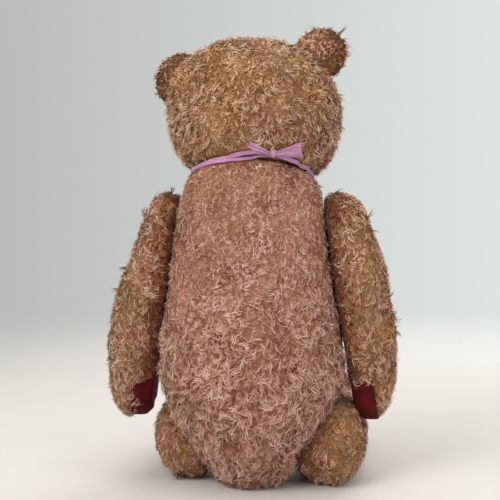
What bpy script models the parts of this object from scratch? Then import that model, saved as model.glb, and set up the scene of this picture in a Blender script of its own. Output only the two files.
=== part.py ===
"""A large old disc-jointed teddy bear, sitting, with a ribbon round its neck.

The skin is pile cloth sewn from separate panels over firm stuffing. The head, arms and legs each turn on
a pair of hardboard discs with washers and a cotter pin. The bear faces -Y with its left side at +X, and
its own box stands centred on the origin. Metres, +Z up.
"""

import math

import bmesh
import bpy
import numpy as np
from mathutils import Matrix, Vector

BEYOND = 0.5  # how far a cutter reaches, past anything it cuts

# Clearances and cloth
GAP = 0.0003  # between pieces that meet
FILL_GAP = 0.0007  # between cloth and stuffing
CLOTH = 0.004  # backing cloth with the matted root of its pile

# Shoulders and neck
SHOULDER_HEIGHT = 0.272
SHOULDER_TO_NECK = 0.048
SHOULDER_TILT = math.radians(9)  # the flank leans out going down
SHOULDER_FLAT = 0.0070  # depth of the flat that the disc presses into the flank
ARM_REACH = 0.214  # shoulder pin to paw tip
ARM_TOP = 0.027  # shoulder pin to the top of the arm
ARM_TIP_RADIUS = 0.030
# Arm: distance below the pin, thickness away from the body, half width, shift to the back
ARM_SECTIONS = (
    (-0.027, 0.032, 0.029, 0.000),
    (0.000, 0.038, 0.030, 0.000),
    (0.038, 0.046, 0.030, 0.001),
    (0.080, 0.053, 0.029, 0.001),
    (0.120, 0.055, 0.028, -0.002),
    (0.160, 0.049, 0.027, -0.008),
    (0.190, 0.044, 0.027, -0.015),
    (0.214, 0.040, 0.025, -0.020),
)
ARM_FLAT = 0.011  # how far an arm's round section would reach past its flat inner face
ARM_SEAM = 0.024  # distance of the long seam from the body side of the arm
PAW_PAD_START = 0.168  # shoulder pin to the straight upper edge of the pad

# Body: share of the height to the neck, half width, reach to the back, reach to the front
NECK_HEIGHT = SHOULDER_HEIGHT + SHOULDER_TO_NECK
BODY_SECTIONS = tuple(
    (share * NECK_HEIGHT, half_width, back, front)
    for share, half_width, back, front in (
        (0.0000, 0.027, 0.029, 0.042),
        (0.0200, 0.035, 0.037, 0.050),
        (0.0600, 0.047, 0.048, 0.061),
        (0.1094, 0.058, 0.059, 0.072),
        (0.1650, 0.070, 0.069, 0.080),
        (0.2200, 0.080, 0.075, 0.084),
        (0.2900, 0.089, 0.080, 0.087),
        (0.3594, 0.095, 0.083, 0.090),
        (0.5156, 0.0925, 0.078, 0.086),
        (0.6719, 0.087, 0.070, 0.074),
        (0.7969, 0.084, 0.067, 0.065),
        (0.8750, 0.081, 0.065, 0.060),
        (0.9500, 0.070, 0.059, 0.052),
        (1.0000, 0.058, 0.053, 0.046),
    )
)
NECK_TILT = math.radians(18)  # the head leans forward
NECK_BEND_START = 0.734 * NECK_HEIGHT  # height where the back starts to lean
BODY_RING_CLEAR = 0.009  # nearest that another ring comes to the rings round the shoulder flat

# Hips: the worn bear sits a little crooked, with its right hip further out and further back
HIP_HEIGHT = 0.045
LEFT_HIP_OUT = 0.040  # middle plane to the hip face
RIGHT_HIP_OUT = 0.047
LEFT_HIP_PLACE = -0.020  # place of the pin along Y
RIGHT_HIP_PLACE = -0.010
LEFT_HIP_SPLAY = math.radians(2)  # toes turned out
RIGHT_HIP_SPLAY = math.radians(3)
HIP_OUT = {1: LEFT_HIP_OUT, -1: RIGHT_HIP_OUT}
HIP_PLACE = {1: LEFT_HIP_PLACE, -1: RIGHT_HIP_PLACE}
HIP_SPLAY = {1: LEFT_HIP_SPLAY, -1: RIGHT_HIP_SPLAY}
HIP_RADIUS = 0.044
HIP_RUNNING = 0.0015  # room round the turning end of the leg
LEG_REACH = 0.196  # hip pin to the sole
LEG_LOW_FLAT = 0.002  # how far a leg's round section would reach past the floor
LEG_FLAT = 0.020  # how far it would reach past the leg's flat inner face
# Leg: distance before the pin, lower edge and upper edge from the pin, inner and outer face from the hip
LEG_SECTIONS = (
    (-0.044, -0.044, 0.044, 0.0, 0.063),
    (0.000, -0.044, 0.044, 0.0, 0.065),
    (0.050, -0.045, 0.036, 0.0, 0.063),
    (0.100, -0.045, 0.026, 0.0, 0.057),
    (0.140, -0.045, 0.024, -0.003, 0.051),
    (0.170, -0.045, 0.034, -0.008, 0.049),
    (0.196, -0.045, 0.040, -0.008, 0.049),
)
SOLE_ROUND = 0.012  # length of the rounding round the sole
SOLE_DRAW = 0.18  # share by which the sole is smaller than the foot behind it

# Head: height above the neck face, half width, reach to the back, reach to the front
HEAD_SECTIONS = (
    (0.000, 0.060, 0.054, 0.051),
    (0.012, 0.072, 0.064, 0.063),
    (0.032, 0.083, 0.074, 0.079),
    (0.055, 0.0875, 0.079, 0.089),
    (0.078, 0.0870, 0.079, 0.089),
    (0.100, 0.080, 0.072, 0.081),
    (0.119, 0.066, 0.059, 0.065),
    (0.132, 0.044, 0.040, 0.043),
    (0.138, 0.020, 0.018, 0.020),
)
HEAD_CROWN = 0.0015  # rise of the very top over the last ring
HEAD_LEAN = math.tan(math.radians(4))  # the crown sits over to the left, the jowl to the right
HEAD_LEAN_MIDDLE = 0.060  # height that the lean leaves in place
HEAD_TURN = math.radians(-15)  # face turned to the bear's own right
# Muzzle: distance before the neck pin, half width, half height
MUZZLE_SECTIONS = (
    (0.050, 0.046, 0.036),
    (0.090, 0.037, 0.033),
    (0.112, 0.030, 0.028),
    (0.124, 0.020, 0.019),
)
MUZZLE_END = 0.128
MUZZLE_HEIGHT = 0.051
# Gusset: place along Y, half width, lower edge
GUSSET_STATIONS = (
    (0.120, 0.013, -0.020),
    (0.064, 0.014, -0.020),
    (0.045, 0.034, 0.070),
    (0.000, 0.040, 0.090),
    (-0.060, 0.026, 0.064),
    (-0.150, 0.010, 0.060),
)

# Ears, sewn on unevenly: out from the middle, height above the neck face, lean outwards
LEFT_EAR_OUT = 0.083
LEFT_EAR_HEIGHT = 0.114
LEFT_EAR_LEAN = math.radians(48)
RIGHT_EAR_OUT = 0.073
RIGHT_EAR_HEIGHT = 0.123
RIGHT_EAR_LEAN = math.radians(28)
EAR_PLACES = {
    1: (LEFT_EAR_OUT, LEFT_EAR_HEIGHT, LEFT_EAR_LEAN),
    -1: (RIGHT_EAR_OUT, RIGHT_EAR_HEIGHT, RIGHT_EAR_LEAN),
}
EAR_RADIUS = 0.030
EAR_HALF_THICKNESS = 0.006
EAR_CUP = 0.0063  # how far the rim bends forward of the middle
EAR_UPRIGHT_CUP = 0.4  # share of that bend at the top of the ear
EAR_BACK = 0.002
EAR_ROWS = 8

# Eyes, nose and mouth
EYE_RADIUS = 0.0085
EYE_DOME = 0.006
EYE_OUT = 0.033
EYE_HEIGHT = 0.084
EYE_SHANK_RADIUS = 0.0015
EYE_SHANK = 0.010
EYE_BEVEL_ANGLES = tuple(math.radians(d) for d in (-20, 15, 45, 70))  # from its rim to its top
NOSE_HALF_WIDTH = 0.016
NOSE_HEIGHT = 0.018
NOSE_THICKNESS = 0.0018
NOSE_REACH = 0.02  # how far its cutter starts before the muzzle
STITCH_WIDTH = 0.0022
MOUTH_DROP = 0.012
MOUTH_ARM = 0.017
MOUTH_SLANT = math.radians(32)

# Ribbon
RIBBON_WIDTH = 0.010
RIBBON_THICKNESS = 0.0010
RIBBON_LIFT = 0.002  # above the neck face
KNOT_BEARING = math.radians(34)  # from the middle of the nape to the bear's right
KNOT_SIZE = (0.008, 0.005, 0.0065)
TAIL_LENGTH = 0.022
TAIL_WIDTH = 0.014
TAIL_SPREAD = math.radians(62)
TAIL_LEAN = math.radians(38)

# Joint hardware
NECK_DISC_RADIUS = 0.034
SHOULDER_DISC_RADIUS = 0.0115
HIP_DISC_RADIUS = 0.017
DISC_THICKNESS = 0.003
WASHER_RADIUS = 0.008
WASHER_THICKNESS = 0.001
PIN_RADIUS = 0.0016
PIN_HOLE_RADIUS = 0.0020
PIN_HEAD_RADIUS = 0.0045
PIN_HEAD_THICKNESS = 0.003
PIN_LEG_HALF = 0.0075
PIN_LEG_WIDTH = 0.003
PIN_LEG_THICKNESS = 0.002

# Fineness
BODY_SIDES = 22
HEAD_SIDES = 18
LIMB_SIDES = 12
ROUND_SIDES = 12
RING_STEP = 0.028  # distance between rings along a part

for old in list(bpy.data.objects):
    bpy.data.objects.remove(old)


# Materials


def material(name, colour, roughness, metallic=0.0):
    made = bpy.data.materials.new(name)
    made.use_nodes = True
    shader = made.node_tree.nodes["Principled BSDF"]
    shader.inputs["Base Color"].default_value = (*colour, 1.0)
    shader.inputs["Roughness"].default_value = roughness
    shader.inputs["Metallic"].default_value = metallic
    return made


PINK_PILE = material("worn_pink_pile", (0.57, 0.31, 0.23), 0.95)
TAN_PILE = material("worn_tan_pile", (0.50, 0.30, 0.15), 0.95)
EAR_PILE = material("brown_ear_pile", (0.30, 0.17, 0.10), 0.95)
RED_PAD = material("dark_red_felt", (0.07, 0.002, 0.004), 0.85)
STUFFING = material("wood_wool", (0.55, 0.42, 0.25), 0.95)
HARDBOARD = material("hardboard", (0.28, 0.17, 0.09), 0.8)
STEEL = material("dull_steel", (0.42, 0.40, 0.37), 0.45, 1.0)
BLACK_GLASS = material("black_boot_button", (0.01, 0.008, 0.007), 0.15)
THREAD = material("black_wool_thread", (0.03, 0.02, 0.018), 0.9)
LILAC = material("lilac_ribbon", (0.50, 0.18, 0.34), 0.6)


# Parents: the bear stands on an empty, and each moving group has one on its joint


def empty(name, parent=None, matrix=None):
    made = bpy.data.objects.new(name, None)
    made.empty_display_size = 0.03
    bpy.context.scene.collection.objects.link(made)
    made.parent = parent
    if matrix is not None:
        made.matrix_local = matrix
    return made


def row_at(rows, place):
    """The row of a table of sections at one place along it, between its own rows."""
    places = [row[0] for row in rows]
    columns = list(zip(*rows, strict=True))[1:]
    return [float(np.interp(place, places, column)) for column in columns]


FRONT = max(
    -HIP_PLACE[side]
    + LEG_REACH * math.cos(HIP_SPLAY[side])
    - (LEG_SECTIONS[-1][3] + GAP) * math.sin(HIP_SPLAY[side])
    for side in (1, -1)
)
BACK = max(row[2] for row in BODY_SECTIONS)
SHOULDER_OUT = row_at(BODY_SECTIONS, SHOULDER_HEIGHT)[0] - SHOULDER_FLAT

BEAR = empty("bear")
BEAR.location = (0.0, (FRONT - BACK) / 2, 0.0)
NECK = empty(
    "neck_pivot",
    BEAR,
    Matrix.Translation((0.0, 0.0, NECK_HEIGHT))
    @ Matrix.Rotation(NECK_TILT, 4, "X")
    @ Matrix.Rotation(HEAD_TURN, 4, "Z"),
)
SHOULDERS = {
    side: empty(
        f"{word}_shoulder_pivot",
        BEAR,
        Matrix.Translation((side * SHOULDER_OUT, 0.0, SHOULDER_HEIGHT))
        @ Matrix.Rotation(-side * SHOULDER_TILT, 4, "Y"),
    )
    for side, word in ((1, "left"), (-1, "right"))
}
HIPS = {
    side: empty(
        f"{word}_hip_pivot",
        BEAR,
        Matrix.Translation((side * HIP_OUT[side], HIP_PLACE[side], HIP_HEIGHT))
        @ Matrix.Rotation(side * HIP_SPLAY[side], 4, "Z"),
    )
    for side, word in ((1, "left"), (-1, "right"))
}
WORD = {1: "left", -1: "right"}


# Meshes


def thing(name, bm, parent, made_of=None):
    """An object from a bmesh. One with no material is a cutter or a guide."""
    bmesh.ops.recalc_face_normals(bm, faces=bm.faces)
    mesh = bpy.data.meshes.new(name)
    bm.to_mesh(mesh)
    bm.free()
    mesh.shade_smooth()
    mesh.set_sharp_from_angle(angle=math.radians(40))
    made = bpy.data.objects.new(name, mesh)
    bpy.context.scene.collection.objects.link(made)
    made.parent = parent
    if made_of is None:
        made.hide_render = True
        made.display_type = "WIRE"
    else:
        mesh.materials.append(made_of)
    return made


def boolean(target, operation, other):
    step = target.modifiers.new(f"{operation.lower()}_{other.name}", "BOOLEAN")
    step.operation = operation
    step.solver = "EXACT"
    step.object = other


def skin(rings, start=None, end=None):
    """A closed bmesh through rings of points, each end a flat cap or a fan to its own point."""
    bm = bmesh.new()
    loops = [[bm.verts.new(point) for point in ring] for ring in rings]
    for near, far in zip(loops, loops[1:], strict=False):
        for k in range(len(near)):
            after = (k + 1) % len(near)
            bm.faces.new((near[k], near[after], far[after]))
            bm.faces.new((near[k], far[after], far[k]))
    for loop, tip in ((loops[0], start), (loops[-1], end)):
        if tip is None:
            bm.faces.new(loop)
            continue
        point = bm.verts.new(tip)
        for k in range(len(loop)):
            bm.faces.new((loop[k], loop[(k + 1) % len(loop)], point))
    bmesh.ops.recalc_face_normals(bm, faces=bm.faces)
    return bm


def grown(bm, distance):
    """Moves every face outwards by the distance, or inwards where it is negative."""
    if not distance:
        return bm
    bm.normal_update()
    moves = []
    for vert in bm.verts:
        normals = np.array([face.normal for face in vert.link_faces])
        wanted = np.full(len(normals), distance)
        moves.append(np.linalg.lstsq(normals, wanted, rcond=0.2)[0])
    for vert, move in zip(bm.verts, moves, strict=True):
        vert.co += Vector(move)
    return bm


def lathe(profile, turn=None, sides=ROUND_SIDES, closed=False):
    """A turned solid about Z from (radius, height) pairs; a closed profile makes a ring."""
    turn = turn or Matrix.Identity(4)
    rings = [
        [
            turn @ Vector((r * math.cos(a), r * math.sin(a), z))
            for a in (2 * math.pi * k / sides for k in range(sides))
        ]
        for r, z in profile
        if r > 0
    ]
    if not closed:
        tips = [turn @ Vector((0, 0, z)) if r == 0 else None for r, z in (profile[0], profile[-1])]
        return skin(rings, *tips)
    bm = bmesh.new()
    loops = [[bm.verts.new(point) for point in ring] for ring in rings]
    for near, far in zip(loops, loops[1:] + loops[:1], strict=True):
        for k in range(sides):
            after = (k + 1) % sides
            bm.faces.new((near[k], near[after], far[after], far[k]))
    return bm


def prism(outline, start, end):
    """A closed prism along X over an outline of (y, z) points."""
    return skin([[(x, y, z) for y, z in outline] for x in (start, end)])


def block(low, high, turn=None):
    turn = turn or Matrix.Identity(4)
    corners = ((low[0], low[1]), (high[0], low[1]), (high[0], high[1]), (low[0], high[1]))
    return skin([[turn @ Vector((x, y, z)) for x, y in corners] for z in (low[2], high[2])])


def oval(count, half_width, back, front):
    """(x, y) points of a section with its own reach to the back and to the front."""
    made = []
    for k in range(count):
        angle = 2 * math.pi * (k + 0.5) / count
        y = math.sin(angle)
        made.append((half_width * math.cos(angle), y * (back if y > 0 else front)))
    return made


def half_space(name, parent, side, clear):
    """A block that holds everything on one side of the middle plane."""
    low, high = sorted((side * clear, side * BEYOND))
    return thing(name, block((low, -BEYOND, -BEYOND), (high, BEYOND, BEYOND)), parent)


# Joint hardware: Z runs out of the body along the joint's axis, with the body's face at zero


def depths(inward):
    """Where disc, washer and pin end start and stop, measured from the body's face."""
    cloth_end = CLOTH if inward else GAP + CLOTH
    disc = (cloth_end + GAP, cloth_end + GAP + DISC_THICKNESS)
    washer = (disc[1] + GAP, disc[1] + GAP + WASHER_THICKNESS)
    thickness = PIN_LEG_THICKNESS if inward else PIN_HEAD_THICKNESS
    end = (washer[1] + GAP, washer[1] + GAP + thickness)
    return disc, washer, end


def ring_between(radius, span, sign, turn):
    low, high = sorted((sign * span[0], sign * span[1]))
    profile = ((PIN_HOLE_RADIUS, low), (radius, low), (radius, high), (PIN_HOLE_RADIUS, high))
    return lathe(profile, turn, closed=True)


def pocket(name, parent, turn, sign, disc_radius):
    """The hollow that disc, washer and pin end need in the stuffing, open towards the joint."""
    disc, washer, end = depths(sign < 0)
    end_radius = (PIN_LEG_HALF if sign < 0 else PIN_HEAD_RADIUS) + 2 * GAP
    steps = (
        (0.0, 0.0),
        (disc_radius + GAP, 0.0),
        (disc_radius + GAP, disc[1] + GAP),
        (WASHER_RADIUS + 2 * GAP, disc[1] + GAP),
        (WASHER_RADIUS + 2 * GAP, washer[1] + GAP),
        (end_radius, washer[1] + GAP),
        (end_radius, end[1] + GAP),
        (0.0, end[1] + GAP),
    )
    return thing(name, lathe([(r, sign * z) for r, z in steps], turn), parent)


def joint(name, limb, parent, turn, disc_radius):
    """Discs, washers and pin of one joint; returns the cutters for the cloth and both stuffings."""
    for sign, group in ((-1, "body"), (1, limb)):
        disc, washer, _ = depths(sign < 0)
        thing(f"{name}_{group}_disc", ring_between(disc_radius, disc, sign, turn), parent, HARDBOARD)
        thing(f"{name}_{group}_washer", ring_between(WASHER_RADIUS, washer, sign, turn), parent, STEEL)
    legs, head = depths(True)[2], depths(False)[2]
    shank = (
        (0.0, -legs[1] + GAP),
        (PIN_RADIUS, -legs[1] + GAP),
        (PIN_RADIUS, head[0]),
        (PIN_HEAD_RADIUS, head[0]),
        (PIN_HEAD_RADIUS, head[1]),
        (0.0, head[1]),
    )
    pin = thing(f"{name}_pin", lathe(shank, turn), parent, STEEL)
    bar = block(
        (-PIN_LEG_HALF, -PIN_LEG_WIDTH / 2, -legs[1]), (PIN_LEG_HALF, PIN_LEG_WIDTH / 2, -legs[0]), turn
    )
    boolean(pin, "UNION", thing(f"cut_{name}_pin_legs", bar, parent))
    through = CLOTH + 10 * GAP
    bore = ((0, -through), (PIN_HOLE_RADIUS, -through), (PIN_HOLE_RADIUS, through), (0, through))
    hole = lathe(bore, turn)
    return (
        thing(f"cut_{name}_hole", hole, parent),
        pocket(f"cut_{name}_body_pocket", parent, turn, -1, disc_radius),
        pocket(f"cut_{name}_{limb}_pocket", parent, turn, 1, disc_radius),
    )


SIDEWAYS = {side: Matrix.Rotation(side * math.pi / 2, 4, "Y") for side in (1, -1)}
neck_hole, neck_body_pocket, neck_head_pocket = joint("neck", "head", NECK, None, NECK_DISC_RADIUS)
shoulder_cuts = {
    side: joint(f"{WORD[side]}_shoulder", "arm", SHOULDERS[side], SIDEWAYS[side], SHOULDER_DISC_RADIUS)
    for side in (1, -1)
}
hip_cuts = {
    side: joint(f"{WORD[side]}_hip", "leg", HIPS[side], SIDEWAYS[side], HIP_DISC_RADIUS) for side in (1, -1)
}


# Body


def body_solid(inset):
    """The body's outline drawn in by the inset, flat at the seat, the neck and both shoulders."""
    rings = []
    flat = [SHOULDER_HEIGHT + sign * (SHOULDER_DISC_RADIUS + 2 * CLOTH) for sign in (-1, 1)]
    heights = [row[0] for row in BODY_SECTIONS if min(abs(row[0] - z) for z in flat) > BODY_RING_CLEAR]
    for z in sorted(heights + flat):
        half_width, back, front = row_at(BODY_SECTIONS, z)
        bend = min(1.0, max(0.0, (z - NECK_BEND_START) / (NECK_HEIGHT - NECK_BEND_START)))
        tilt = NECK_TILT * bend * bend * (3 - 2 * bend)
        ring = []
        for x, y in oval(BODY_SIDES, half_width, back, front):
            height = z + y * math.sin(tilt)
            limit = SHOULDER_OUT + math.tan(SHOULDER_TILT) * (SHOULDER_HEIGHT - height)
            ring.append((min(limit, max(-limit, x)), y * math.cos(tilt), height))
        rings.append(ring)
    return grown(skin(rings), -inset)


def hip_notch(name, side, grow):
    """Room in the body's flank for the leg from its sitting to its standing place."""
    radius = HIP_RADIUS + HIP_RUNNING + grow
    outline = [(-BEYOND, radius)]
    outline += [
        (radius * math.sin(turn), radius * math.cos(turn))
        for turn in (math.pi / 2 * k / 6 for k in range(7))
    ]
    outline += [(radius, -BEYOND), (-BEYOND, -BEYOND)]
    return thing(name, prism(outline, -side * grow, side * BEYOND), HIPS[side])


def body_inside(name, inset, made_of=None):
    made = thing(name, body_solid(inset), BEAR, made_of)
    for side in (1, -1):
        boolean(made, "DIFFERENCE", hip_notch(f"cut_{name}_{WORD[side]}_notch", side, inset))
    return made


body_hollow = body_inside("cut_body_hollow", CLOTH)
for side in (1, -1):
    panel = thing(f"body_{WORD[side]}_panel", body_solid(0.0), BEAR, PINK_PILE)
    boolean(panel, "INTERSECT", half_space(f"cut_body_{WORD[side]}_half", BEAR, side, GAP / 2))
    boolean(panel, "DIFFERENCE", hip_notch(f"cut_body_{WORD[side]}_hip", side, 0.0))
    boolean(panel, "DIFFERENCE", body_hollow)
    for hole in (neck_hole, shoulder_cuts[side][0], hip_cuts[side][0]):
        boolean(panel, "DIFFERENCE", hole)
body_stuffing = body_inside("body_stuffing", CLOTH + FILL_GAP, STUFFING)
for cutter in (neck_body_pocket, *(cuts[side][1] for cuts in (shoulder_cuts, hip_cuts) for side in (1, -1))):
    boolean(body_stuffing, "DIFFERENCE", cutter)


# Arms


def rounded(place, start, end, start_radius, end_radius):
    """How far a limb's section is drawn in near its two round ends, from 0 to 1."""
    near = 1 - min(1.0, (place - start) / start_radius)
    far = 1 - min(1.0, (end - place) / end_radius)
    return math.sqrt(max(0.0, 1 - near * near)) * math.sqrt(max(0.0, 1 - far * far))


def stations(start, end, start_radius, end_radius, step):
    """Places along a limb, closer together round its two ends."""
    turns = (0.12, 0.38, 0.72)
    first = [start + start_radius * t for t in turns]
    last = [end - end_radius * t for t in reversed(turns)]
    middle = max(2, round((end - end_radius - start - start_radius) / step) + 1)
    return first + list(np.linspace(start + start_radius, end - end_radius, middle)) + last


def arm_solid(side, inset):
    rings = []
    for s in stations(-ARM_TOP, ARM_REACH, ARM_TOP, ARM_TIP_RADIUS, RING_STEP):
        out, half_width, back = row_at(ARM_SECTIONS, s)
        size = rounded(s, -ARM_TOP, ARM_REACH, ARM_TOP, ARM_TIP_RADIUS)
        middle = out / 2
        ring = []
        for k in range(LIMB_SIDES):
            turn = 2 * math.pi * (k + 0.5) / LIMB_SIDES
            reach = middle + (ARM_FLAT if math.cos(turn) < 0 else 0.0)
            x = middle + reach * size * math.cos(turn)
            y = back + half_width * size * math.sin(turn)
            ring.append((side * max(GAP, x), y, -s))
        rings.append(ring)
    tips = [
        (side * row_at(ARM_SECTIONS, s)[0] / 2, row_at(ARM_SECTIONS, s)[2], -s) for s in (-ARM_TOP, ARM_REACH)
    ]
    return grown(skin(rings, *tips), -inset)


for side in (1, -1):
    word, pivot = WORD[side], SHOULDERS[side]
    hole, _, arm_pocket = shoulder_cuts[side]
    hollow = thing(f"cut_{word}_arm_hollow", arm_solid(side, CLOTH), pivot)
    inner = (-BEYOND, ARM_SEAM - GAP / 2)
    pieces = (
        (f"{word}_arm_outer_panel", (ARM_SEAM + GAP / 2, BEYOND), (-BEYOND, BEYOND), TAN_PILE),
        (f"{word}_arm_inner_panel", inner, (-PAW_PAD_START + GAP / 2, BEYOND), PINK_PILE),
        (f"{word}_paw_pad", inner, (-BEYOND, -PAW_PAD_START - GAP / 2), RED_PAD),
    )
    for name, across, up, made_of in pieces:
        piece = thing(name, arm_solid(side, 0.0), pivot, made_of)
        low, high = sorted(side * x for x in across)
        zone = thing(f"cut_{name}_zone", block((low, -BEYOND, up[0]), (high, BEYOND, up[1])), pivot)
        boolean(piece, "INTERSECT", zone)
        boolean(piece, "DIFFERENCE", hollow)
        if name.endswith("inner_panel"):
            boolean(piece, "DIFFERENCE", hole)
    filling = thing(f"{word}_arm_stuffing", arm_solid(side, CLOTH + FILL_GAP), pivot, STUFFING)
    boolean(filling, "DIFFERENCE", arm_pocket)


# Legs


def leg_solid(side, inset):
    rings = []
    foot = LEG_REACH - SOLE_ROUND
    places = stations(-HIP_RADIUS, foot + HIP_RADIUS, HIP_RADIUS, HIP_RADIUS, RING_STEP)
    for s in (*(s for s in places if s <= foot), LEG_REACH - SOLE_ROUND * 0.4, LEG_REACH):
        low, high, inner, outer = row_at(LEG_SECTIONS, s)
        size = rounded(s, -HIP_RADIUS, BEYOND, HIP_RADIUS, SOLE_ROUND)
        size -= SOLE_DRAW * max(0.0, (s - foot) / SOLE_ROUND) ** 2
        middle, half = (outer + inner) / 2, (outer - inner) / 2
        ring = []
        for k in range(LIMB_SIDES):
            turn = 2 * math.pi * (k + 0.5) / LIMB_SIDES
            reach = half + (LEG_FLAT if math.cos(turn) < 0 else 0.0)
            x = middle + reach * size * math.cos(turn)
            z = (low + high) / 2 + ((high - low) / 2 + LEG_LOW_FLAT) * size * math.sin(turn)
            ring.append((side * max(inner + GAP, x), -s, max(z, -HIP_HEIGHT)))
        rings.append(ring)
    inner_end = (side * LEG_SECTIONS[0][4] / 2, HIP_RADIUS, 0.0)
    return grown(skin(rings, inner_end, None), -inset)


for side in (1, -1):
    word, pivot = WORD[side], HIPS[side]
    hole, _, leg_pocket = hip_cuts[side]
    hollow = thing(f"cut_{word}_leg_hollow", leg_solid(side, CLOTH), pivot)
    sole = -LEG_REACH + CLOTH
    seam = sum(LEG_SECTIONS[1][3:5]) / 2
    pieces = (
        (f"{word}_leg_outer_panel", (seam + GAP / 2, BEYOND), (sole + GAP, BEYOND), TAN_PILE),
        (f"{word}_leg_inner_panel", (-BEYOND, seam - GAP / 2), (sole + GAP, BEYOND), PINK_PILE),
        (f"{word}_foot_pad", (-BEYOND, BEYOND), (-BEYOND, sole), RED_PAD),
    )
    for name, across, along, made_of in pieces:
        piece = thing(name, leg_solid(side, 0.0), pivot, made_of)
        low, high = sorted(side * x for x in across)
        zone = thing(f"cut_{name}_zone", block((low, along[0], -BEYOND), (high, along[1], BEYOND)), pivot)
        boolean(piece, "INTERSECT", zone)
        if not name.endswith("pad"):
            boolean(piece, "DIFFERENCE", hollow)
        if name.endswith("inner_panel"):
            boolean(piece, "DIFFERENCE", hole)
    filling = thing(f"{word}_leg_stuffing", leg_solid(side, CLOTH + FILL_GAP), pivot, STUFFING)
    boolean(filling, "DIFFERENCE", leg_pocket)


# Head


def head_size(height):
    return row_at(HEAD_SECTIONS, height)


HEAD_TOP = HEAD_SECTIONS[-1][0]


def lean_at(height):
    """How far the head's outline is moved sideways at a height."""
    return HEAD_LEAN * (height - HEAD_LEAN_MIDDLE)


def head_solid(inset):
    rings = []
    for z, half_width, back, front in HEAD_SECTIONS:
        over = lean_at(z)
        rings.append([(x + over, y, z + GAP) for x, y in oval(HEAD_SIDES, half_width, back, front)])
    return grown(skin(rings, None, (lean_at(HEAD_TOP), 0.0, HEAD_TOP + HEAD_CROWN)), -inset)


def muzzle_solid(inset):
    rings = []
    for y, half_width, half_height in MUZZLE_SECTIONS:
        ring = []
        for k in range(LIMB_SIDES):
            turn = 2 * math.pi * (k + 0.5) / LIMB_SIDES
            ring.append((half_width * math.cos(turn), -y, MUZZLE_HEIGHT + half_height * math.sin(turn)))
        rings.append(ring)
    return grown(skin(rings, None, (0.0, -MUZZLE_END, MUZZLE_HEIGHT)), -inset)


def whole_head(name, inset, made_of=None):
    made = thing(name, head_solid(inset), NECK, made_of)
    boolean(made, "UNION", thing(f"cut_{name}_muzzle", muzzle_solid(inset), NECK))
    return made


def gusset_zone(name, grow):
    """The strip over the head from the nape to the nose."""
    rings = [
        [
            (-half_width - grow, y, low - grow),
            (half_width + grow, y, low - grow),
            (half_width + grow, y, BEYOND),
            (-half_width - grow, y, BEYOND),
        ]
        for y, half_width, low in GUSSET_STATIONS
    ]
    return thing(name, skin(rings), NECK)


def eye_at(side, name, grow, made_of=None):
    """One boot button on its shank, square to the face, or its socket where it is grown."""
    half_width, _, front = head_size(EYE_HEIGHT)
    forward = front * math.sqrt(1 - (EYE_OUT / half_width) ** 2)
    outwards = Vector((side * EYE_OUT / half_width**2, -forward / front**2, 0.0)).normalized()
    place = Vector((side * EYE_OUT + lean_at(EYE_HEIGHT), -forward, EYE_HEIGHT)) + outwards * EYE_DOME * 0.1
    turn = Matrix.Translation(place) @ outwards.to_track_quat("Z", "Y").to_matrix().to_4x4()
    profile = [
        (0.0, -EYE_SHANK - grow),
        (EYE_SHANK_RADIUS + grow, -EYE_SHANK - grow),
        (EYE_SHANK_RADIUS + grow, -EYE_DOME * 0.35 - grow),
    ]
    profile += [
        ((EYE_RADIUS + grow) * math.cos(a), (EYE_DOME + grow) * math.sin(a))
        for a in EYE_BEVEL_ANGLES
    ]
    profile.append((0.0, EYE_DOME + grow))
    return thing(name, lathe(profile, turn, 14), NECK, made_of)


head_hollow = whole_head("cut_head_hollow", CLOTH)
sockets = [eye_at(side, f"cut_{WORD[side]}_eye_socket", GAP) for side in (1, -1)]
gusset_room = gusset_zone("cut_gusset_room", GAP)
for side in (1, -1):
    eye_at(side, f"{WORD[side]}_eye", 0.0, BLACK_GLASS)
    panel = whole_head(f"head_{WORD[side]}_panel", 0.0, TAN_PILE)
    boolean(panel, "INTERSECT", half_space(f"cut_head_{WORD[side]}_half", NECK, side, GAP / 2))
    boolean(panel, "DIFFERENCE", gusset_room)
    boolean(panel, "DIFFERENCE", head_hollow)
    boolean(panel, "DIFFERENCE", neck_hole)
    boolean(panel, "DIFFERENCE", sockets[0 if side == 1 else 1])
gusset = whole_head("head_gusset", 0.0, TAN_PILE)
boolean(gusset, "INTERSECT", gusset_zone("cut_gusset_zone", 0.0))
boolean(gusset, "DIFFERENCE", head_hollow)
head_stuffing = whole_head("head_stuffing", CLOTH + FILL_GAP, STUFFING)
boolean(head_stuffing, "DIFFERENCE", neck_head_pocket)
for socket in sockets:
    boolean(gusset, "DIFFERENCE", socket)
    boolean(head_stuffing, "DIFFERENCE", socket)


# Ears


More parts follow.
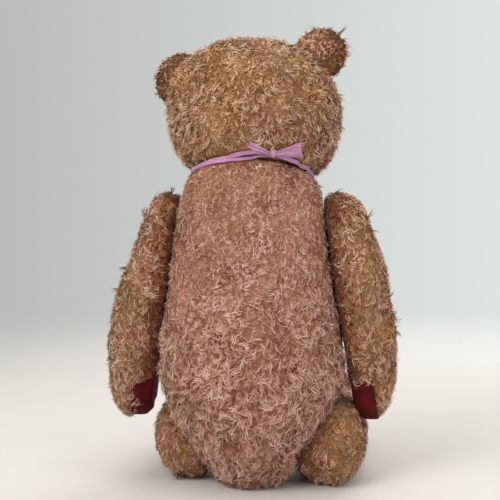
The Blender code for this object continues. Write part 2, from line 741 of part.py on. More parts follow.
head_room = whole_head("cut_head_room", -GAP)
for side in (1, -1):
    out, height, lean = EAR_PLACES[side]
    rings = []
    for row in range(1, EAR_ROWS):
        across = -math.cos(math.pi * row / EAR_ROWS)
        wide = math.sin(math.pi * row / EAR_ROWS)
        ring = []
        for k in range(ROUND_SIDES):
            turn = 2 * math.pi * k / ROUND_SIDES
            up = wide * math.cos(turn)
            bend = EAR_CUP * (across**2 + EAR_UPRIGHT_CUP * up**2)
            y = EAR_HALF_THICKNESS * math.sqrt(wide) * math.sin(turn) - bend
            ring.append((EAR_RADIUS * across, y, EAR_RADIUS * up))
        rings.append(ring)
    tips = [(x, -EAR_CUP, 0.0) for x in (-EAR_RADIUS, EAR_RADIUS)]
    ear_mesh = skin(rings, *tips)
    foot = (side * out + lean_at(height), EAR_BACK, height)
    turn = Matrix.Translation(foot) @ Matrix.Rotation(side * lean, 4, "Y")
    bmesh.ops.transform(ear_mesh, matrix=turn, verts=ear_mesh.verts)
    ear = thing(f"{WORD[side]}_ear", ear_mesh, NECK, EAR_PILE)
    boolean(ear, "DIFFERENCE", head_room)


# Nose and mouth, stitched over the end of the muzzle


def stitched(name, mesh, height):
    """A patch of stitches that follows the muzzle."""
    made = thing(name, mesh, NECK, THREAD)
    boolean(made, "INTERSECT", thing(f"cut_{name}_outside", muzzle_solid(-height), NECK))
    return made


def bar_on_muzzle(name, start, length, angle):
    """A straight stitch across the muzzle, seen from the front, that leaves its start at an angle."""
    half = STITCH_WIDTH / 2
    turn = Matrix.Translation((start[0], 0.0, start[1])) @ Matrix.Rotation(angle, 4, "Y")
    return block((-half, -MUZZLE_END - NOSE_REACH, -length), (half, -MUZZLE_SECTIONS[0][0], half), turn)


under_stitches = thing("cut_under_stitches", muzzle_solid(-GAP), NECK)
nose_top = MUZZLE_HEIGHT + NOSE_HEIGHT * 0.9
nose_outline = (
    (-NOSE_HALF_WIDTH, nose_top),
    (NOSE_HALF_WIDTH, nose_top),
    (NOSE_HALF_WIDTH * 0.85, nose_top - NOSE_HEIGHT * 0.45),
    (NOSE_HALF_WIDTH * 0.25, nose_top - NOSE_HEIGHT),
    (-NOSE_HALF_WIDTH * 0.25, nose_top - NOSE_HEIGHT),
    (-NOSE_HALF_WIDTH * 0.85, nose_top - NOSE_HEIGHT * 0.45),
)
nose_span = (-MUZZLE_END - NOSE_REACH, -MUZZLE_SECTIONS[1][0])
nose_mesh = skin([[(x, y, z) for x, z in nose_outline] for y in nose_span])
nose = stitched("nose_stitching", nose_mesh, NOSE_THICKNESS)
boolean(nose, "DIFFERENCE", under_stitches)
mouth_top = nose_top - NOSE_HEIGHT - GAP - STITCH_WIDTH / 2
fork = mouth_top - MOUTH_DROP
mouth = thing("mouth_stitching", bar_on_muzzle("", (0.0, mouth_top), MOUTH_DROP, 0.0), NECK, THREAD)
for side in (1, -1):
    arm = bar_on_muzzle("", (0.0, fork + STITCH_WIDTH * 0.4), MOUTH_ARM, -side * (math.pi / 2 - MOUTH_SLANT))
    boolean(mouth, "UNION", thing(f"cut_mouth_{WORD[side]}", arm, NECK))
boolean(mouth, "INTERSECT", thing("cut_mouth_outside", muzzle_solid(-NOSE_THICKNESS * 0.8), NECK))
boolean(mouth, "DIFFERENCE", under_stitches)


# Ribbon round the neck, knotted at the nape


ribbon = thing("neck_ribbon", head_solid(-GAP - RIBBON_THICKNESS), NECK, LILAC)
band = block((-BEYOND, -BEYOND, RIBBON_LIFT), (BEYOND, BEYOND, RIBBON_LIFT + RIBBON_WIDTH))
boolean(ribbon, "INTERSECT", thing("cut_ribbon_band", band, NECK))
knot_height = RIBBON_LIFT + RIBBON_WIDTH * 0.75
nape = head_size(knot_height)[1] + GAP
nape_turn = Matrix.Rotation(KNOT_BEARING, 4, "Z") @ Matrix.Translation((0.0, nape, knot_height))
knot_profile = [(math.sin(a), -math.cos(a)) for a in (math.pi * k / 6 for k in range(7))]
knot_profile[0], knot_profile[-1] = (0.0, -1.0), (0.0, 1.0)
knot_mesh = lathe(knot_profile, nape_turn @ Matrix.Diagonal((*KNOT_SIZE, 1.0)), 12)
boolean(ribbon, "UNION", thing("cut_knot", knot_mesh, NECK))
for side in (1, -1):
    lean = Matrix.Rotation(-TAIL_LEAN, 4, "X") @ Matrix.Rotation(side * TAIL_SPREAD, 4, "Y")
    half = TAIL_WIDTH / 2 if side == -1 else TAIL_WIDTH / 3
    under = RIBBON_THICKNESS * (0.9 - 0.7 * side)
    low, high = (-half, under, -RIBBON_THICKNESS), (half, under + RIBBON_THICKNESS, TAIL_LENGTH)
    tail = block(low, high, nape_turn @ lean)
    boolean(ribbon, "UNION", thing(f"cut_tail_{WORD[side]}", tail, NECK))
boolean(ribbon, "DIFFERENCE", thing("cut_under_ribbon", head_solid(-GAP), NECK))
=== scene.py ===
import math

import bmesh
import bpy
import numpy as np
from mathutils import Matrix, Vector, kdtree
from mathutils.bvhtree import BVHTree


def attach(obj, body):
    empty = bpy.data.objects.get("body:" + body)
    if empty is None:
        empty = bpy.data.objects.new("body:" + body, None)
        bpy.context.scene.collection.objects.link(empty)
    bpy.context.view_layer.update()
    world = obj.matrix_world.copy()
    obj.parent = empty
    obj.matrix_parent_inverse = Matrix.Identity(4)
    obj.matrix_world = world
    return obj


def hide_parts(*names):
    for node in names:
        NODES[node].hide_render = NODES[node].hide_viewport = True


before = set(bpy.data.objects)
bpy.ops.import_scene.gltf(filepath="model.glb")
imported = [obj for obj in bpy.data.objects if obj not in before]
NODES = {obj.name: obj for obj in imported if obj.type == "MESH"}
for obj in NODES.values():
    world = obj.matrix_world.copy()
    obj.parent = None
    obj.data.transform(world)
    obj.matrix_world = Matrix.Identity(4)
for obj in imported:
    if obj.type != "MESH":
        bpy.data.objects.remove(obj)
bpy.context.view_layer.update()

SIDES = ("left", "right")
PARTS = ("body", "head", "left_arm", "right_arm", "left_leg", "right_leg")
CENTRE_Y = 0.066575  # the bear's own middle plane, front to back
NECK = Vector((0, CENTRE_Y, 0.320))
NECK_LEAN = math.radians(18)  # of the neck's pin, forward
NECK_AXIS = Vector((0, -math.sin(NECK_LEAN), math.cos(NECK_LEAN)))


# ---------------------------------------------------------------- camera, light and floor


def aimed(ob, place, target):
    bpy.context.scene.collection.objects.link(ob)
    ob.location = place
    ob.rotation_euler = (Vector(target) - Vector(place)).to_track_quat("-Z", "Y").to_euler()
    return ob


def camera(azimuth, elevation, distance, target, angle):
    a, e = math.radians(azimuth), math.radians(elevation)
    away = Vector((math.sin(a) * math.cos(e), -math.cos(a) * math.cos(e), math.sin(e)))
    made = bpy.data.objects.new("camera", bpy.data.cameras.new("camera"))
    made.data.angle = math.radians(angle)
    bpy.context.scene.camera = aimed(made, Vector(target) + away * distance, target)


def lamp(name, place, size, power, colour=(1, 1, 1)):
    made = bpy.data.objects.new(name, bpy.data.lights.new(name, "AREA"))
    made.data.size = size
    made.data.energy = power
    made.data.color = colour
    aimed(made, place, (0, CENTRE_Y, 0.22))


def linear(colour):
    c = np.asarray(colour, float)[:3] / 255
    return (*np.where(c <= 0.04045, c / 12.92, ((c + 0.055) / 1.055) ** 2.4), 1.0)


# the photograph's view: from behind, a little above and to one side
camera(186, 4, 1.2, (0.002, CENTRE_Y, 0.2415), 24.15)
lamp("key", (0.75, 1.25, 1.15), 0.9, 19, (1.0, 0.985, 0.96))
lamp("fill", (-1.1, 1.0, 0.7), 1.2, 7)
lamp("top", (0.0, 0.1, 1.5), 1.2, 8)
lamp("front", (-0.5, -1.4, 0.9), 1.2, 20)

scene = bpy.context.scene
scene.view_settings.view_transform = "Standard"
world = bpy.data.worlds.new("studio")
scene.world = world
world.use_nodes = True
tree = world.node_tree
tree.nodes.clear()
seen, lights = tree.nodes.new("ShaderNodeBackground"), tree.nodes.new("ShaderNodeBackground")
sky = tree.nodes.new("ShaderNodeTexCoord")
split, shade = tree.nodes.new("ShaderNodeSeparateXYZ"), tree.nodes.new("ShaderNodeMapRange")
# painted light: the backdrop the camera sees is painted lighter towards -x and darker towards +x, as light
# falling off across it; the light it sheds is even
blend = tree.nodes.new("ShaderNodeMix")
blend.data_type = "RGBA"
shade.inputs["From Min"].default_value, shade.inputs["From Max"].default_value = -0.3, 0.3
blend.inputs[6].default_value = linear((237, 245, 243))
blend.inputs[7].default_value = linear((187, 189, 186))
tree.links.new(sky.outputs["Generated"], split.inputs[0])
tree.links.new(split.outputs[0], shade.inputs[0])
tree.links.new(shade.outputs[0], blend.inputs[0])
tree.links.new(blend.outputs[2], seen.inputs["Color"])
lights.inputs["Color"].default_value = (1.0, 0.97, 0.94, 1.0)
lights.inputs["Strength"].default_value = 0.42
ray, choice = tree.nodes.new("ShaderNodeLightPath"), tree.nodes.new("ShaderNodeMixShader")
tree.links.new(ray.outputs["Is Camera Ray"], choice.inputs[0])
tree.links.new(lights.outputs[0], choice.inputs[1])
tree.links.new(seen.outputs[0], choice.inputs[2])
tree.links.new(choice.outputs[0], tree.nodes.new("ShaderNodeOutputWorld").inputs[0])


# ---------------------------------------------------------------- materials


class Shader:
    """A node material: add() makes a node, links the sockets it is given and sets the other inputs."""

    def __init__(self, name, **inputs):
        self.material = bpy.data.materials.new(name)
        self.material.use_nodes = True
        self.tree = self.material.node_tree
        self.bsdf = self.tree.nodes["Principled BSDF"]
        for key, value in inputs.items():
            self.bsdf.inputs[key.replace("_", " ").title().replace("Ior", "IOR")].default_value = value

    def add(self, kind, inputs=(), **props):
        made = self.tree.nodes.new("ShaderNode" + kind)
        for key, value in props.items():
            setattr(made, key, value)
        for key, value in dict(inputs).items():
            self.put(made.inputs[key], value)
        return made

    def put(self, socket, value):
        if isinstance(value, bpy.types.NodeSocket):
            self.tree.links.new(value, socket)
        else:
            socket.default_value = value

    def mix(self, a, b, share, mode="MIX"):
        made = self.add("Mix", {0: share}, data_type="RGBA", blend_type=mode)
        self.put(made.inputs[6], a)
        self.put(made.inputs[7], b)
        return made.outputs[2]

    def ramp(self, value, stops):
        made = self.add("ValToRGB", {0: value})
        spots = made.color_ramp.elements
        while len(spots) < len(stops):
            spots.new(0.5)
        for spot, (at, colour) in zip(spots, stops):
            spot.position = at
            spot.color = colour
        return made.outputs[0]

    def noise(self, place, scale, detail=3.0, rough=0.55):
        return self.add(
            "TexNoise", {"Vector": place, "Scale": scale, "Detail": detail, "Roughness": rough}
        ).outputs[0]

    def place(self):
        return self.add("TexCoord").outputs["Object"]

    def maths(self, how, a, b=0.0):
        return self.add("Math", {0: a, 1: b}, operation=how).outputs[0]

    def finish(self, colour, height=None, deep=0.001, rough=None):
        self.put(self.bsdf.inputs["Base Color"], colour)
        if rough is not None:
            self.put(self.bsdf.inputs["Roughness"], rough)
        if height is not None:
            bump = self.add("Bump", {"Height": height, "Distance": deep, "Strength": 1.0})
            self.put(self.bsdf.inputs["Normal"], bump.outputs[0])
        return self.material


def grey(value):
    return (value, value, value, 1.0)


BANDS = {  # each kind of lock from its darkest to its palest
    "pink": ((134, 76, 54), (204, 148, 124), (232, 188, 168), (252, 226, 212)),
    "beige": ((122, 82, 56), (196, 152, 124), (226, 190, 164), (248, 222, 202)),
    "tan": ((112, 72, 36), (190, 142, 94), (222, 178, 132), (246, 214, 174)),
    "olive": ((94, 68, 36), (162, 128, 84), (194, 162, 116), (224, 196, 154)),
    "brown": ((58, 32, 16), (108, 70, 40), (150, 106, 68), (186, 142, 100)),
    "rust": ((88, 32, 8), (128, 56, 24), (164, 90, 54), (204, 142, 108)),
}
BAND_NAMES = list(BANDS)


LOCK_STOPS = (0.02, 0.36, 0.68, 0.98)  # where a band's four colours stand in its share of the map
ROOT_TINT, LOW_TINT = (0.34, 0.19, 0.12, 1.0), (0.78, 0.66, 0.56, 1.0)  # the shade down between the locks


def pile_material():
    """Locks whose colour comes from the map: the band and brightness across, the depth along."""
    made = Shader("mohair_pile", specular_ior_level=0.25)
    map_ = made.add("UVMap", uv_map="OFBake").outputs[0]
    across, along = made.add("SeparateXYZ", {0: map_}).outputs[:2]
    stops = []
    for k, name in enumerate(BAND_NAMES):
        for at, colour in zip(LOCK_STOPS, BANDS[name]):
            stops.append(((k + at) / len(BANDS), linear(colour)))
    tone = made.ramp(across, stops)
    depth = made.ramp(along, [(0, ROOT_TINT), (0.35, LOW_TINT), (0.7, grey(1.0)), (1, grey(1.0))])
    rough = made.maths("MULTIPLY_ADD", along, -0.15)
    rough.node.inputs[2].default_value = 0.8
    made.bsdf.inputs["Sheen Weight"].default_value = 0.25
    return made.finish(made.mix(tone, depth, 1.0, "MULTIPLY"), rough=rough)


def woven(made, place, step):
    """How high a plain weave of threads step apart stands, from 0 to 1."""
    x, y, z = made.add("SeparateXYZ", {0: place}).outputs
    turns = 2 * math.pi / step
    waves = [made.maths("SINE", made.maths("MULTIPLY", v, turns)) for v in (x, y, z)]
    total = made.maths("ADD", made.maths("ADD", waves[0], waves[1]), waves[2])
    height = made.maths("MULTIPLY_ADD", total, 0.16)
    height.node.inputs[2].default_value = 0.5
    return height


BACKING_THREAD, RIBBON_THREAD = 0.0011, 0.0009  # from one thread to the next


def backing_material(name, dark, pale):
    """The woven ground that the pile stands in."""
    made = Shader(name, roughness=0.9, specular_ior_level=0.15)
    place = made.place()
    weave = woven(made, place, BACKING_THREAD)
    blotch = made.noise(place, 38.0, 4.0)
    fine = made.noise(place, 420.0, 2.0)
    colour = made.ramp(blotch, [(0.32, linear(dark)), (0.68, linear(pale))])
    colour = made.mix(colour, made.ramp(fine, [(0.3, grey(0.6)), (0.7, grey(1.1))]), 1.0, "MULTIPLY")
    height = made.maths("ADD", weave, fine)
    return made.finish(colour, height, 0.0006)


def felt_material():
    """Dark red felt, rubbed darker and shiny in patches."""
    made = Shader("dark_red_felt", specular_ior_level=0.2)
    place = made.place()
    blotch = made.noise(place, 55.0, 5.0, 0.6)
    nap = made.noise(place, 900.0, 3.0, 0.7)
    colour = made.ramp(
        blotch, [(0.3, linear((46, 2, 4))), (0.5, linear((78, 6, 8))), (0.72, linear((112, 16, 16)))]
    )
    colour = made.mix(colour, made.ramp(nap, [(0.35, grey(0.72)), (0.65, grey(1.15))]), 1.0, "MULTIPLY")
    made.bsdf.inputs["Sheen Weight"].default_value = 0.2
    made.bsdf.inputs["Sheen Tint"].default_value = linear((200, 50, 44))
    rough = made.ramp(blotch, [(0.3, grey(0.7)), (0.7, grey(0.95))])
    return made.finish(colour, made.maths("ADD", nap, blotch), 0.0009, rough)


def ribbon_material():
    """Thin satin ribbon: a fine rib across it, and painted shade along both edges of each strip, so that its
    middle looks like a lit fold.
    """
    made = Shader("lilac_ribbon", roughness=0.42, specular_ior_level=0.45)
    map_ = made.add("UVMap", uv_map="weave").outputs[0]
    x, y = made.add("SeparateXYZ", {0: map_}).outputs[:2]
    rib = made.maths("SINE", made.maths("MULTIPLY", x, 2 * math.pi / RIBBON_THREAD))
    crumple = made.noise(made.place(), 240.0, 4.0, 0.6)
    stain = made.noise(made.place(), 60.0, 3.0)
    colour = made.ramp(stain, [(0.3, linear((176, 118, 156))), (0.7, linear((206, 150, 190)))])
    # painted shade: each strip is darker towards both its edges
    edge = made.ramp(y, [(0.0, grey(0.8)), (0.1, grey(1.0)), (0.9, grey(1.0)), (1.0, grey(0.8))])
    colour = made.mix(colour, edge, 1.0, "MULTIPLY")
    height = made.maths("ADD", made.maths("MULTIPLY", rib, 0.12), crumple)
    made.bsdf.inputs["Sheen Weight"].default_value = 0.2
    return made.finish(colour, height, 0.0007)


def plain_material(name, dark, pale, scale, rough=0.6, metal=0.0, deep=0.0003):
    made = Shader(name, metallic=metal)
    grain = made.noise(made.place(), scale, 5.0, 0.6)
    colour = made.ramp(grain, [(0.3, linear(dark)), (0.7, linear(pale))])
    spread = made.ramp(grain, [(0.3, grey(rough)), (0.7, grey(min(1.0, rough + 0.2)))])
    return made.finish(colour, grain, deep, spread)


PILE = pile_material()
PINK_BACKING = backing_material("pink_backing", (128, 78, 54), (186, 132, 106))
TAN_BACKING = backing_material("tan_backing", (116, 76, 42), (176, 128, 86))
EAR_BACKING = backing_material("ear_backing", (84, 48, 26), (140, 96, 62))
FELT = felt_material()
SATIN = ribbon_material()
MATERIALS = {
    "stuffing": plain_material("wood_wool", (176, 142, 92), (216, 188, 138), 260.0, 0.8, deep=0.002),
    "disc": plain_material("hardboard", (84, 58, 36), (122, 90, 60), 300.0, 0.7),
    "washer": plain_material("dull_steel", (98, 96, 92), (150, 148, 142), 200.0, 0.4, 1.0),
    "pin": plain_material("steel_pin", (92, 90, 88), (140, 138, 134), 200.0, 0.4, 1.0),
    "eye": plain_material("boot_button", (6, 5, 5), (20, 17, 16), 160.0, 0.16, deep=0.00005),
    "wool": plain_material("black_wool", (14, 11, 10), (44, 36, 32), 1400.0, 0.85, deep=0.0004),
}


def wear(ob, material):
    ob.data.materials.clear()
    ob.data.materials.append(material)


def dress(made, material, body, slot, *nodes):
    """Give a piece its material, say which body it rides and hide the nodes that it stands for; its slot is
    not used.
    """
    wear(made, material)
    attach(made, body)
    if nodes:
        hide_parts(*nodes)


# ---------------------------------------------------------------- floor

ground = bpy.data.meshes.new("floor")
shape = bmesh.new()
bmesh.ops.create_circle(shape, cap_ends=True, segments=96, radius=9.0)
shape.to_mesh(ground)
shape.free()
floor = bpy.data.objects.new("floor", ground)
scene.collection.objects.link(floor)
floor.location.z = -0.0002
matt = Shader("paper_floor", roughness=0.95, specular_ior_level=0.0)
paper = matt.noise(matt.place(), 3.0, 2.0)
far = matt.add("VectorMath", {0: matt.place()}, operation="LENGTH").outputs["Value"]
clear = matt.add("MapRange", {0: far, "From Min": 0.3, "From Max": 1.5}, interpolation_type="SMOOTHSTEP")
faded = matt.add("MixShader", {0: clear.outputs[0], 1: matt.bsdf.outputs[0]})
matt.tree.links.new(matt.add("BsdfTransparent").outputs[0], faded.inputs[2])
matt.tree.links.new(faded.outputs[0], matt.tree.nodes["Material Output"].inputs[0])
wear(
    floor,
    matt.finish(matt.ramp(paper, [(0.3, linear((208, 205, 200))), (0.7, linear((214, 211, 206)))])),
)


# ---------------------------------------------------------------- cloth under the pile


def linked(name, mesh):
    made = bpy.data.objects.new(name, mesh)
    scene.collection.objects.link(made)
    return made


def joined(names):
    """One mesh of copies of CAD nodes."""
    shape = bmesh.new()
    for name in names:
        shape.from_mesh(NODES[name].data)
    bmesh.ops.remove_doubles(shape, verts=shape.verts, dist=1e-6)
    mesh = bpy.data.meshes.new("joined")
    shape.to_mesh(mesh)
    shape.free()
    return mesh


def largest_island(mesh):
    shape = bmesh.new()
    shape.from_mesh(mesh)
    shape.verts.ensure_lookup_table()
    left, islands = set(range(len(shape.verts))), []
    while left:
        start = left.pop()
        island, edge = {start}, [start]
        while edge:
            for e in shape.verts[edge.pop()].link_edges:
                for v in e.verts:
                    if v.index in left:
                        left.remove(v.index)
                        island.add(v.index)
                        edge.append(v.index)
        islands.append(island)
    keep = max(islands, key=len)
    bmesh.ops.delete(shape, geom=[v for v in shape.verts if v.index not in keep], context="VERTS")
    return shape


def wavy(points, size, seed, waves=9):
    """Smooth noise of one number a point, about -1 to 1, with features about size across."""
    dice = np.random.default_rng(seed)
    spin = dice.normal(size=(waves, 3))
    spin /= np.linalg.norm(spin, axis=1)[:, None]
    spin *= dice.uniform(0.6, 1.5, (waves, 1)) * math.pi / size
    return np.sin(points @ spin.T + dice.uniform(0, 2 * math.pi, waves)).mean(1) * waves**0.5 * 0.7


def rising(value, low, high):
    """0 below low, 1 above high, smoothly."""
    t = np.clip((value - low) / (high - low), 0, 1)
    return t * t * (3 - 2 * t)


def swell(name, p):
    """How far a cloth stands out past its solid where the stuffing has shifted, in metres."""
    out, z = np.abs(p[:, 0]), p[:, 2]
    if name == "head_cloth":
        return 0.0028 * rising(out, 0.045, 0.075)
    if name == "right_leg_cloth":
        return 0.006 * rising(out, 0.06, 0.1) * rising(0.10 - z, 0.0, 0.03)
    if name == "left_arm_cloth":
        paw = 0.003 * rising(out, 0.1, 0.13) * rising(0.17 - z, 0.0, 0.03)
        shoulder = 0.003 * rising(z, 0.2, 0.235) * rising(out, 0.09, 0.12)
        return paw - shoulder
    if name == "right_arm_cloth":
        shoulder = 0.004 * rising(out, 0.09, 0.11) * rising(z, 0.19, 0.22)
        paw = 0.003 * rising(out, 0.11, 0.14) * rising(0.12 - z, 0.0, 0.03)
        return shoulder - paw
    return 0.0


def skin(name, nodes, voxel=0.004, smooth=4, lumps=0.0007, seed=1):
    """A closed cloth form over CAD nodes, with the small lumps of its stuffing."""
    ob = linked(name, joined(nodes))
    remesh = ob.modifiers.new("remesh", "REMESH")
    remesh.mode = "VOXEL"
    remesh.voxel_size = voxel
    seen = ob.evaluated_get(bpy.context.evaluated_depsgraph_get())
    shape = largest_island(bpy.data.meshes.new_from_object(seen))
    for _ in range(smooth):
        bmesh.ops.smooth_vert(
            shape, verts=shape.verts, factor=0.5, use_axis_x=True, use_axis_y=True, use_axis_z=True
        )
    shape.normal_update()
    places = np.array([v.co for v in shape.verts])
    push = (wavy(places, 0.03, seed) + 0.6 * wavy(places, 0.012, seed + 1)) * lumps + swell(name, places)
    for v, far in zip(shape.verts, push):
        v.co += v.normal * float(far)
        v.co.z = max(v.co.z, 0.0004)
    ob.modifiers.clear()
    for f in shape.faces:
        f.smooth = True
    shape.to_mesh(ob.data)
    shape.free()
    return ob


def tree_of(*meshes):
    points, faces = [], []
    for mesh in meshes:
        base = len(points)
        points += [v.co[:] for v in mesh.vertices]
        faces += [[base + k for k in p.vertices] for p in mesh.polygons]
    return BVHTree.FromPolygons(points, faces)


PANELS = {
    "body": ["body_left_panel", "body_right_panel"],
    "head": ["head_gusset", "head_left_panel", "head_right_panel"],
}
for side in SIDES:
    PANELS[f"{side}_arm"] = [f"{side}_arm_inner_panel", f"{side}_arm_outer_panel"]
    PANELS[f"{side}_leg"] = [f"{side}_leg_inner_panel", f"{side}_leg_outer_panel"]

PINK, TAN = "worn_pink_pile", "worn_tan_pile"
SKINS, TREES, SEAMS = {}, {}, {}
for k, part in enumerate(PARTS):
    made = skin(f"{part}_cloth", [*PANELS[part], f"{part}_stuffing"], seed=10 * k + 1)
    if part == "body":
        dress(made, PINK_BACKING, part, PINK, *PANELS[part])
    else:
        dress(made, TAN_BACKING, part, TAN, *PANELS[part])
    SKINS[part] = made
    TREES[part] = tree_of(made.data)
    SEAMS[part] = [tree_of(NODES[n].data) for n in PANELS[part]]

for side in SIDES:
    made = skin(f"{side}_ear_cloth", [f"{side}_ear"], 0.0022, 3, 0.0003, 71)
    dress(made, EAR_BACKING, "head", "brown_ear_pile", f"{side}_ear")
    SKINS[f"{side}_ear"] = made
    TREES[f"{side}_ear"] = tree_of(made.data)


# ---------------------------------------------------------------- felt pads

PAD_TREES = {}
for side in SIDES:
    for limb, pad in (("arm", "paw_pad"), ("leg", "foot_pad")):
        made = skin(f"{side}_{pad}_felt", [f"{side}_{pad}"], 0.0016, 3, 0.0002, 55)
        dress(made, FELT, f"{side}_{limb}", "dark_red_felt", f"{side}_{pad}")
        PAD_TREES[f"{side}_{limb}"] = tree_of(made.data)


# ---------------------------------------------------------------- ribbon

# the nape is at turn 0, and turns go towards the bear's right; heights are along the neck's axis
NAPE = Vector((0, math.cos(NECK_LEAN), math.sin(NECK_LEAN)))
RIGHT = Vector((-1, 0, 0))
FOLD = (  # a section across the folded band, in millimetres: up along the neck, out from it
    (-3.3, 0.0), (-2.9, 1.0), (-1.9, 1.7), (-0.9, 1.3), (-0.3, 0.5),
    (0.6, 1.5), (1.6, 1.9), (2.6, 1.2), (3.1, 0.2), (2.3, -0.5),
)
# the same of the narrower twisted strand that runs below the band near the knot
STRING = ((-1.7, 0.0), (-1.5, 0.9), (-0.6, 1.4), (0.2, 0.6), (0.9, 1.3), (1.6, 0.9), (1.8, 0.0))


PICTURE_HALF = 250  # of the picture's side, in pixels


def reached(px, py, over):
    """The place over the bear's surface seen at a point of the picture, 500 by 500."""
    eye = scene.camera.matrix_world
    half = math.tan(scene.camera.data.angle / 2)
    start = eye.translation
    x, y = (px / PICTURE_HALF - 1) * half, (1 - py / PICTURE_HALF) * half
    way = (eye.to_3x3() @ Vector((x, y, -1))).normalized()
    hits = [h for h in (TREES[part].ray_cast(start, way) for part in ("head", "body")) if h[0] is not None]
    place = min(hits, key=lambda h: h[3])[0]
    return place - way * over


def out_at(turn, height):
    """How far head and body reach from the neck's axis in one direction."""
    way = NAPE * math.cos(turn) + RIGHT * math.sin(turn)
    far = NECK + NECK_AXIS * height + way * 0.16
    hits = (TREES[part].ray_cast(far, -way) for part in ("head", "body"))
    return max([(h[0] - NECK - NECK_AXIS * height).dot(way) for h in hits if h[0] is not None] or [0.05])


def crease_height(turn):
    """Height of the ribbon, which rises to its knot behind the nape."""
    near = math.exp(-(((turn - 0.16 + math.pi) % (2 * math.pi) - math.pi) / 0.62) ** 2)
    return -0.003 + (KNOT_HEIGHT + 0.003) * near


KNOT_SEEN = (273.5, 153.5)  # in the picture
KNOT = reached(*KNOT_SEEN, 0.004)
KNOT_HEIGHT = (KNOT - NECK).dot(NECK_AXIS)
KNOT_TURN = math.atan2((KNOT - NECK).dot(RIGHT), (KNOT - NECK).dot(NAPE))


def strip(rows):
    """Rows of points as one open sheet, its map in metres along and from 0 to 1 across."""
    faces, n = [], len(rows[0])
    for j in range(len(rows) - 1):
        for k in range(n - 1):
            faces.append((j * n + k, j * n + k + 1, (j + 1) * n + k + 1, (j + 1) * n + k))
    along = [0.0]
    for a, b in zip(rows, rows[1:]):
        along.append(along[-1] + (Vector(b[n // 2]) - Vector(a[n // 2])).length)
    points = [Vector(q) for row in rows for q in row]
    uv = [(along[j], k / (n - 1)) for j in range(len(rows)) for k in range(n)]
    return points, faces, uv


def wrapped(section, start, end, drop, size, seed, steps):
    """A folded strip laid round the neck from one turn to another."""
    dice = np.random.default_rng(seed)
    waves = dice.uniform(0, 2 * math.pi, 8)
    rows = []
    for j in range(steps + 1):
        turn = start + (end - start) * j / steps
        height = crease_height(turn) + drop(turn)
        way = NAPE * math.cos(turn) + RIGHT * math.sin(turn)
        reach = max(out_at(turn, height - 0.002), out_at(turn, height + 0.002)) + 0.0010
        row = []
        wide = size(turn)
        for k, (up, out) in enumerate(section):
            ripple = 0.45 * math.sin(9 * turn + waves[k % 8]) + 0.3 * math.sin(23 * turn + waves[(k + 3) % 8])
            up_by = height + (up * wide + 0.4 * ripple) / 1000
            out_by = reach + max(0.0, out + 0.6 * ripple) / 1000
            row.append(NECK + NECK_AXIS * up_by + way * out_by)
        rows.append(row)
    return strip(rows)


def tail(corners, over, lift, folds, seed, steps=18, across=9, ragged=0.0014):
    """A cut tail between four corners seen in the picture: both ends of its start, then of its cut."""
    dice = np.random.default_rng(seed)
    (a, b), (c, d) = [[np.array(q, float) for q in pair] for pair in corners]
    rows = []
    for j in range(steps + 1):
        u = j / steps
        row = []
        for k in range(across):
            v = k / (across - 1)
            px, py = (a + (b - a) * v) * (1 - u) + (c + (d - c) * v) * u
            height = over + lift * u * u + folds * math.sin(3 * math.pi * v + 0.8) * (1 - 0.6 * u)
            row.append(reached(px, py, height))
        rows.append(row)
    flow = rows[-1][across // 2] - rows[-2][across // 2]
    flow.normalize()
    rows[-1] = [q + flow * float(dice.normal(0, ragged / 2)) for q in rows[-1]]
    return strip(rows)


def loop_over(centre, way, up, radius, width, start, end, seed, steps=14, across=7):
    """A crumpled turn of ribbon passing over the knot."""
    dice = np.random.default_rng(seed)
    side = way.cross(up).normalized()
    rows = []
    for j in range(steps + 1):
        a = start + (end - start) * j / steps
        pinch = 0.62 + 0.38 * math.sin(math.pi * j / steps)
        row = []
        for k in range(across):
            v = k / (across - 1) - 0.5
            wave = 0.0003 * math.sin(7 * v * math.pi + 3 * a)
            far = radius * (1 - 0.35 * v * v) + wave + float(dice.normal(0, 0.00006))
            row.append(centre + side * (v * width * pinch) + (up * math.cos(a) + way * math.sin(a)) * far)
        rows.append(row)
    return strip(rows)


def mesh_from(name, parts):
    """One smooth mesh of several parts, each its points, faces and, for ribbon, the map called weave."""
    points, faces, uvs = [], [], []
    for p, f, *uv in parts:
        base = len(points)
        points += p
        faces += [[base + k for k in q] for q in f]
        uvs += [place for each in uv for place in each]
    mesh = bpy.data.meshes.new(name)
    mesh.from_pydata(points, [], faces)
    if uvs:
        layer = mesh.uv_layers.new(name="weave")
        for loop, corner in zip(layer.uv, mesh.loops):
            loop.vector = uvs[corner.vertex_index]
    for polygon in mesh.polygons:
        polygon.use_smooth = True
    return mesh


TO_CAMERA = (scene.camera.matrix_world.translation - KNOT).normalized()
ALOFT = (NECK_AXIS - TO_CAMERA * NECK_AXIS.dot(TO_CAMERA)).normalized()
ASIDE = TO_CAMERA.cross(ALOFT)
FULL = 2 * math.pi
STRING_TURN = 1.15  # how far round the neck the strand runs apart from the band
# each tail in the picture: both ends of its start, then of its cut
RIGHT_TAIL = (((276, 151.5), (276, 156)), ((301, 142), (303, 158)))
LEFT_TAIL = (((271, 155.5), (270.5, 152)), ((246, 147.5), (250.5, 141.5)))
TAIL_OVER = 0.0062  # a tail's height over the cloth, to lie on the pile


def band_size(turn):
    return 0.72 if turn > -0.1 - FULL else 0.9


def string_drop(turn):
    return -0.0034 * math.sin(math.pi * min(1, max(0, (KNOT_TURN - turn) / STRING_TURN)))


